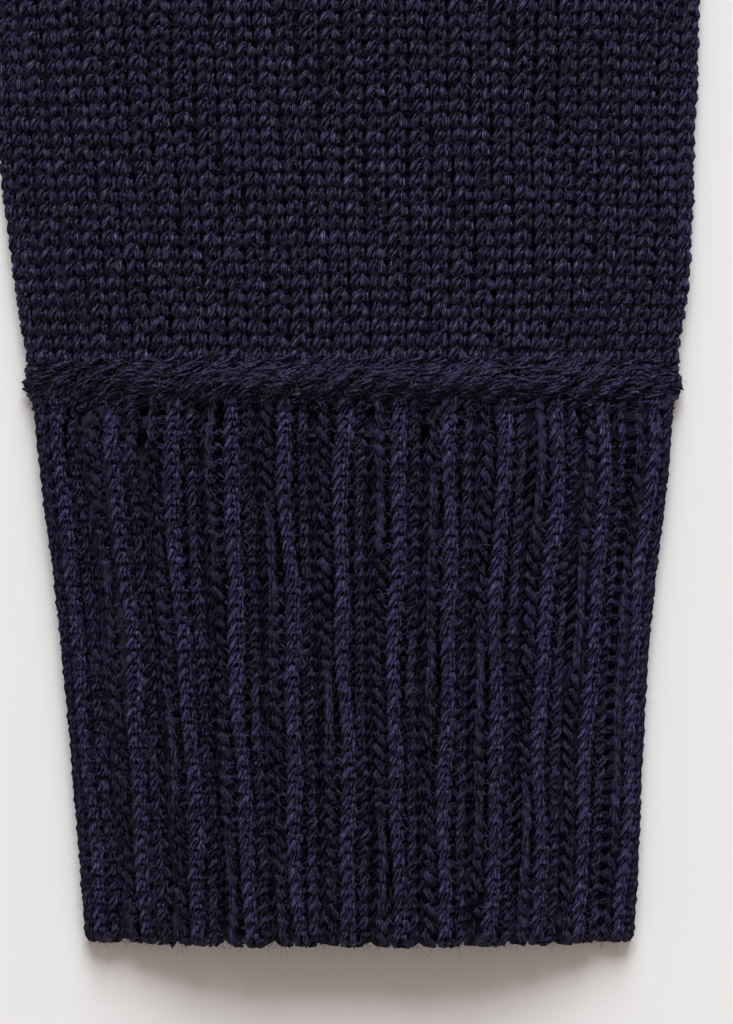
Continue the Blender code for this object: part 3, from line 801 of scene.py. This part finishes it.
def wool_tint(tree):
    """The dyed wool's colour, which drifts between navy, purple and near black."""
    place = node(tree, "ShaderNodeTexCoord").outputs["Object"]
    drift = noise_of(tree, place, 90.0, Detail=2.0)
    grain = noise_of(tree, place, 750.0, Detail=2.0)
    wide = noise_of(tree, place, 14.0, Detail=1.0)
    grain = math_of(tree, "MULTIPLY", grain, 0.45)
    both = math_of(tree, "ADD", math_of(tree, "MULTIPLY", drift, 0.30), grain)
    both = math_of(tree, "ADD", both, math_of(tree, "MULTIPLY", wide, 0.25))
    return ramp_of(tree, both, ((0.34, INK), (0.50, NAVY), (0.64, PURPLE)))


def finish_wool(shader):
    shader.inputs["Roughness"].default_value = 0.88
    shader.inputs["Specular IOR Level"].default_value = 0.12
    shader.inputs["Sheen Weight"].default_value = 0.065
    shader.inputs["Sheen Roughness"].default_value = 0.45
    shader.inputs["Sheen Tint"].default_value = (0.62, 0.55, 1.0, 1.0)


def yarn_material(name, streaks):
    """Twisted wool: fibres run along the ply, some of them pale, with painted shade and glints on
    them.
    """
    material, tree, shader = blank_material(name)
    place = node(tree, "ShaderNodeUVMap", uv_map="Yarn").outputs["UV"]
    lean = mapped(tree, mapped(tree, place, Scale=(0.55, 1.9, 1.0)), Rotation=(0, 0, 0.35))
    fibre = noise_of(tree, lean, 2.3, Detail=2.0, Roughness=0.6)
    # Partly painted glints: pale fibres mixed into the tint
    pale = noise_of(tree, mapped(tree, place, Scale=(0.5, 3.0, 1.0)), 2.2, Detail=1.0)
    share = math_of(tree, "MULTIPLY", ranged(tree, pale, (0.56, 0.66)), 0.9)
    # Painted shade and glints: fibre streaks darken or lighten the tint by the piece's shares
    streak = ranged(tree, fibre, (0.42, 0.68), streaks)
    tint = mixed_colour(tree, 1.0, wool_tint(tree), streak, "MULTIPLY")
    tint = mixed_colour(tree, share, tint, PALE_FIBRE_AND_GLINT)
    # Painted shade and highlight: the yarn is painted darker the deeper it lies, down to about a
    # quarter of its tint, and up to a quarter lighter at its top
    depth = node(tree, "ShaderNodeAttribute", attribute_name="Depth").outputs["Fac"]
    shade = ranged(tree, depth, (-1.0, 3.0), (1.24, 0.24))
    tint = mixed_colour(tree, 1.0, tint, shade, "MULTIPLY")
    tree.links.new(tint, shader.inputs["Base Color"])
    bump = node(tree, "ShaderNodeBump", {"Height": fibre, "Strength": 0.9, "Distance": 0.00040})
    tree.links.new(bump.outputs[0], shader.inputs["Normal"])
    finish_wool(shader)
    return material


def knit_height(tree, across, up):
    """Relief of plain knit, from places in stitches: two legs a stitch that lean together upward."""
    beside = math_of(tree, "SUBTRACT", math_of(tree, "FRACT", across), 0.5)
    beside = math_of(tree, "ABSOLUTE", beside)
    phase = math_of(tree, "ADD", up, math_of(tree, "MULTIPLY", beside, LEG_SLOPE))
    wave = math_of(tree, "COSINE", math_of(tree, "MULTIPLY", phase, 2 * math.pi))
    wave = math_of(tree, "MULTIPLY_ADD", wave, 0.5)
    leg = math_of(tree, "SINE", math_of(tree, "MULTIPLY", beside, 2 * math.pi))
    leg = math_of(tree, "POWER", math_of(tree, "MAXIMUM", leg, 0.0), LEG_ROUNDNESS)
    return math_of(tree, "MULTIPLY", wave, leg)


def shell_material(name, turn, wale, row):
    """Wool knit as relief on a plain shell, its hollows painted in shade. turn is the direction of
    its wales, from +Y.
    """
    material, tree, shader = blank_material(name)
    place = node(tree, "ShaderNodeTexCoord").outputs["Object"]
    level = mapped(tree, place, Rotation=(0, 0, -turn))
    parts = node(tree, "ShaderNodeSeparateXYZ", {"Vector": level})
    across = math_of(tree, "DIVIDE", parts.outputs[0], wale)
    up = math_of(tree, "DIVIDE", parts.outputs[1], row)
    wave = noise_of(tree, place, 60.0)
    across = math_of(tree, "ADD", across, math_of(tree, "MULTIPLY", wave, 0.8))
    up = math_of(tree, "ADD", up, math_of(tree, "MULTIPLY", wave, 0.9))
    height = knit_height(tree, across, up)
    # Painted shade: the knit's hollows painted down to 30 % of the tint, its tops left as they are
    shade = ranged(tree, height, (0.0, 1.0), (0.30, 1.0))
    tint = mixed_colour(tree, 1.0, wool_tint(tree), shade, "MULTIPLY")
    tint = mixed_colour(tree, 0.02, tint, PALE_FIBRE_AND_GLINT)
    tree.links.new(tint, shader.inputs["Base Color"])
    bump = node(tree, "ShaderNodeBump", {"Height": height, "Strength": 0.8, "Distance": 0.0007})
    tree.links.new(bump.outputs[0], shader.inputs["Normal"])
    finish_wool(shader)
    return material


def bed_material(name, light):
    """The back of the knit between the loops of yarn, painted dark as their shade."""
    material, tree, shader = blank_material(name)
    place = node(tree, "ShaderNodeTexCoord").outputs["Object"]
    drift = noise_of(tree, place, 500.0)
    dark = tuple(0.4 * light * part for part in BED_COLOUR)
    bright = tuple(light * part for part in BED_COLOUR)
    tint = ramp_of(tree, drift, ((0.42, dark), (0.58, bright)))
    tree.links.new(tint, shader.inputs["Base Color"])
    bump = node(tree, "ShaderNodeBump", {"Height": drift, "Strength": 1.0, "Distance": 0.0012})
    tree.links.new(bump.outputs[0], shader.inputs["Normal"])
    shader.inputs["Roughness"].default_value = 0.95
    shader.inputs["Specular IOR Level"].default_value = 0.05
    return material


def hair_material():
    material, tree, shader = blank_material("wool_fuzz")
    place = node(tree, "ShaderNodeTexCoord").outputs["Object"]
    drift = noise_of(tree, place, 700.0)
    tint = ramp_of(tree, drift, tuple(zip((0.40, 0.56, 0.74), HAIR_COLOURS)))
    tree.links.new(tint, shader.inputs["Base Color"])
    shader.inputs["Roughness"].default_value = 0.7
    return material


def floor_material():
    material, tree, shader = blank_material("pale_studio_floor")
    place = node(tree, "ShaderNodeTexCoord").outputs["Object"]
    drift = noise_of(tree, place, 2.0)
    tint = ramp_of(tree, drift, ((0.3, (0.795, 0.795, 0.795)), (0.7, (0.805, 0.805, 0.805))))
    tree.links.new(tint, shader.inputs["Base Color"])
    shader.inputs["Roughness"].default_value = 0.9
    shader.inputs["Specular IOR Level"].default_value = 0.1
    return material


def hair_object(name, roots, directions, lengths, widths):
    """Fine hairs as narrow curved ribbons."""
    count, steps = len(roots), HAIR_STEPS
    bend = unit(rng.normal(0, 1, (count, 3)))
    curl = rng.uniform(*HAIR_CURLS, (count, 1))
    points = np.zeros((count, steps, 2, 3))
    here = roots.copy()
    heading = directions
    for step in range(steps):
        side = unit(np.cross(heading, rng.normal(0, HAIR_TWIST, (count, 3)) + (0, 0, 1)))
        width = widths[:, None] * (1 - HAIR_TAPER * step)
        points[:, step, 0] = here - side * width
        points[:, step, 1] = here + side * width
        heading = unit(heading + bend * curl * HAIR_BEND)
        here = here + heading * lengths[:, None] / (steps - 1)
    hair, step = np.meshgrid(np.arange(count), np.arange(steps - 1), indexing="ij")
    first = (hair * steps + step) * 2
    faces = np.stack([first, first + 1, first + 3, first + 2], axis=-1).reshape(-1, 4)
    across = math.ceil(math.sqrt(count))
    left, low = (hair % across + 0.1) / across, (hair // across + 0.1 + step * 0.25) / across
    right, high = left + 0.8 / across, low + 0.25 / across
    bake = np.stack([left, low, right, low, right, high, left, high], axis=-1)
    maps = {"OFBake": bake.reshape(-1, 2)}
    return mesh_object(name, above_floor(points.reshape(-1, 3)), faces, maps)


def build_fuzz(name, surface, wales, alongs, fuzz):
    """Hairs all over a stretch of the surface, the last of them along its lower edge."""
    count, edge = fuzz.hairs, fuzz.edge_hairs
    wale = rng.uniform(*wales, count)
    along = rng.uniform(*alongs, count)
    along[count - edge :] = alongs[0] + rng.uniform(*EDGE_HAIR_BAND, edge)
    points, normals = surface.at(wale, along)
    roots = to_frame(points - normals * HAIR_ROOT)
    normals = vectors_to_frame(normals)
    aim = rng.normal(0, 1, (count, 3))
    aim = aim - (aim * normals).sum(-1, keepdims=True) * normals
    directions = unit(unit(aim) + normals * rng.uniform(0.0, fuzz.stand, (count, 1)))
    lengths = rng.uniform(HAIR_SHORTEST, fuzz.longest, count) * rng.uniform(*HAIR_SHARES, count)
    widths = rng.uniform(*HAIR_HALF_WIDTHS, count)
    return hair_object(name, roots, directions, lengths, widths)


def build_overlays():
    """Yarn and fuzz by the CAD node that they lie on."""
    hair = hair_material()
    sleeve, join, cuff = sleeve_surface(), join_surface(), cuff_surface()
    overlays = {
        "sleeve_left": build_sleeve_yarn(sleeve),
        "cuff_join_left": build_join_yarn(join),
        "cuff_left": build_cuff_yarn(cuff),
    }
    for name, strands in overlays.items():
        yarn = yarn_material(f"navy_wool_{name}", YARN_STREAKS[name])
        for strand in strands:
            strand.data.materials.append(yarn)
    join_reach = (JOIN_START, JOIN_START + JOIN_LENGTH)
    stretches = {
        "sleeve_left": (sleeve, PLAIN_FUZZ_ENDS, (SLEEVE_START, YARN_REACH), SLEEVE_FUZZ),
        "cuff_join_left": (join, PLAIN_FUZZ_ENDS, join_reach, JOIN_FUZZ),
        "cuff_left": (cuff, RIB_FUZZ_ENDS, (CUFF_FUZZ_START, CUFF_LENGTH), CUFF_FUZZ),
    }
    for name, stretch in stretches.items():
        fuzz = build_fuzz(f"{name}_fuzz", *stretch)
        fuzz.data.materials.append(hair)
        overlays[name].append(fuzz)
    return overlays


def quad_copy(name, source, levels):
    """A smoothed copy of a CAD node's mesh as an object, with its sharp edges kept sharp."""
    shape = bmesh.new()
    shape.from_mesh(source.data)
    bmesh.ops.remove_doubles(shape, verts=shape.verts, dist=MERGE_DISTANCE)
    cuts = HEM_CUTS if name.startswith("hem") else ()
    for height in cuts:
        parts = [*shape.verts, *shape.edges, *shape.faces]
        bmesh.ops.bisect_plane(shape, geom=parts, plane_co=(0, height, 0), plane_no=(0, 1, 0))
    if levels:
        bmesh.ops.join_triangles(
            shape,
            faces=shape.faces,
            angle_face_threshold=FLAT_ANGLE,
            angle_shape_threshold=ANY_SHAPE,
        )
    weights = shape.edges.layers.float
    crease = weights.get("crease_edge") or weights.new("crease_edge")
    for edge in shape.edges:
        if edge.is_manifold and edge.calc_face_angle(0) > CREASE_ANGLE:
            edge[crease] = 1.0
    mesh = bpy.data.meshes.new(name)
    shape.to_mesh(mesh)
    shape.free()
    shown = bpy.data.objects.new(name, mesh)
    bpy.context.scene.collection.objects.link(shown)
    if levels:
        finer = shown.modifiers.new("finer", "SUBSURF")
        finer.levels = levels
        finer.render_levels = levels
        graph = bpy.context.evaluated_depsgraph_get()
        smooth = bpy.data.meshes.new_from_object(shown.evaluated_get(graph))
        shown.modifiers.clear()
        shown.data = smooth
        smooth.name = name
    shown.data.shade_smooth()
    shown.data.set_sharp_from_angle(angle=SHARP_ANGLE)
    return shown


def vertex_arrays(mesh):
    points = np.zeros(len(mesh.vertices) * 3, np.float32)
    normals = np.zeros(len(mesh.vertices) * 3, np.float32)
    mesh.vertices.foreach_get("co", points)
    mesh.vertex_normals.foreach_get("vector", normals)
    return points.reshape(-1, 3).astype(float), normals.reshape(-1, 3).astype(float)


def sink_under_yarn(shown, bed):
    """Draws a sleeve tube's outer face in, where yarn is laid over it."""
    points, normals = vertex_arrays(shown.data)
    across, along, height = in_sleeve(points).T
    core = np.clip(across, -BED_CORE, BED_CORE)
    from_core = np.stack([across - core, height - bed.mid], axis=1)
    lean = np.stack([normals[:, :2] @ ACROSS, normals[:, 2]], axis=1)
    outside = (from_core * lean).sum(1) > 0
    fade = 1 - smooth_step((along - BED_END_START) / BED_END_LENGTH)
    depth = bed.depth + np.where(along < JOIN_START, BED_CUFF_END * cuff_end_drop(along), 0)
    inside = np.minimum(across + through(INNER_EDGE, along), through(OUTER_EDGE, along) - across)
    edge = BED_EDGE_SHARE + (1 - BED_EDGE_SHARE) * smooth_step(inside / BED_EDGE_WIDTH)
    moved = points - normals * (depth * fade * outside * edge)[:, None]
    moved[:, 2] = np.maximum(moved[:, 2], points[:, 2].min()) * edge_press(across, along)
    shown.data.vertices.foreach_set("co", moved.astype(np.float32).ravel())
    shown.data.update()


def lay_bed_material(shown, material):
    """Gives the faces under the yarn the bed's material, painted dark as shade."""
    shown.data.materials.append(material)
    middles = np.zeros(len(shown.data.polygons) * 3, np.float32)
    shown.data.polygons.foreach_get("center", middles)
    local = in_sleeve(middles.reshape(-1, 3).astype(float))
    chosen = (local[:, 1] < BED_SHADE_END).astype(np.int32)
    shown.data.polygons.foreach_set("material_index", chosen)


# turn is the side a piece's sleeve is on, levels how often its mesh is refined, flat its cut,
# share how much of flat's rectangle the cut fills, and under what it lies on
PIECES = (
    Piece("body_back", "plain_knit", "plain", 0, 1, (0.525, 0.625), 0.80, ()),
    Piece("body_front", "plain_knit", "plain", 0, 2, (0.525, 0.625), 0.78, ("body_back_cloth",)),
    Piece("hem_back", "rib_knit", "rib", 0, 0, (0.486, 0.065), None, ()),
    Piece("hem_front", "rib_knit", "rib", 0, 0, (0.500, 0.065), None, ("hem_back_cloth",)),
    Piece("neckband", "rib_knit", "rib", 0, 0, (0.440, 0.026), None, ("body_back_cloth",)),
    Piece("sleeve_left", "plain_knit", "plain", 1, 2, (0.340, 0.549), 0.80, ()),
    Piece("sleeve_right", "plain_knit", "plain", -1, 2, (0.340, 0.549), 0.80, ()),
    Piece("cuff_left", "rib_knit", "rib", 1, 1, (0.210, 0.085), None, ()),
    Piece("cuff_right", "rib_knit", "rib", -1, 1, (0.210, 0.085), None, ()),
    Piece("cuff_join_left", "rib_knit", "rib", 1, 1, (0.210, 0.0110), 0.65, ()),
    Piece("cuff_join_right", "rib_knit", "rib", -1, 1, (0.210, 0.0110), 0.65, ()),
)
TURN_NAMES = {0: "body", 1: "left_sleeve", -1: "right_sleeve"}


def build_shells():
    materials = {}
    shells = {}
    for piece in PIECES:
        key = (piece.knit, piece.turn)
        if key not in materials:
            sizes = STITCH_SIZES[piece.knit]
            label = f"{piece.knit}_knit_{TURN_NAMES[piece.turn]}"
            materials[key] = shell_material(label, piece.turn * SLEEVE_ANGLE, *sizes)
        shown = quad_copy(f"{piece.node}_cloth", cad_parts[piece.node], piece.levels)
        shown.data.materials.clear()
        shown.data.materials.append(materials[key])
        if piece.node in YARN_BEDS:
            bed = YARN_BEDS[piece.node]
            sink_under_yarn(shown, bed)
            lay_bed_material(shown, bed_material(f"shaded_{piece.node}", bed.light))
        shells[piece.node] = shown
    return shells


def dress():
    """Puts every piece, with its yarn and fuzz, on the CAD part's body, and hides the CAD node it
    stands for.
    """
    overlays = build_overlays()
    shells = build_shells()
    for piece in PIECES:
        shell = shells[piece.node]
        extras = overlays.get(piece.node, [])
        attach(shell, "root")
        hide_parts(piece.node)
        for extra in extras:
            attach(extra, "root")


def build_stage():
    half = FLOOR_SIZE / 2
    corners = np.array([(-half, -half, 0), (half, -half, 0), (half, half, 0), (-half, half, 0)])
    floor = mesh_object("studio_floor", corners, np.array([[0, 1, 2, 3]]))
    floor.location.z = -FLOOR_GAP
    floor.data.materials.append(floor_material())
    world = bpy.data.worlds.new("studio")
    world.use_nodes = True
    world.node_tree.nodes["Background"].inputs["Color"].default_value = (*SKY_COLOUR, 1.0)
    bpy.context.scene.world = world
    lamp = bpy.data.lights.new("soft_key", "AREA")
    lamp.shape = "RECTANGLE"
    lamp.size = KEY_WIDTH
    lamp.size_y = KEY_LENGTH
    lamp.energy = KEY_POWER
    lamp.color = KEY_COLOUR
    key = bpy.data.objects.new("soft_key", lamp)
    level = math.cos(KEY_TURN) * ALONG + math.sin(KEY_TURN) * ACROSS
    toward = np.array((*(level * math.cos(KEY_ELEVATION)), math.sin(KEY_ELEVATION)))
    key.location = np.array((*CUFF_MIDDLE, 0)) + toward * KEY_DISTANCE
    key.rotation_euler = Vector(toward).to_track_quat("Z", "Y").to_euler()
    bpy.context.scene.collection.objects.link(key)


def build_camera():
    data = bpy.data.cameras.new("over_the_cuff")
    data.lens = SENSOR * (VIEW_HEIGHT - CLOTH_TOP) / VIEW_SPAN
    data.sensor_width = SENSOR
    data.clip_start = CLIP_START
    data.clip_end = CLIP_END
    camera = bpy.data.objects.new("over_the_cuff", data)
    place = CUFF_MIDDLE + VIEW_ACROSS * ACROSS + VIEW_ALONG * ALONG
    camera.location = (place[0], place[1], VIEW_HEIGHT)
    camera.rotation_euler = (0, 0, SLEEVE_ANGLE)
    bpy.context.scene.collection.objects.link(camera)
    bpy.context.scene.camera = camera
    bpy.context.scene.view_settings.view_transform = "Standard"


build_stage()
build_camera()
dress()
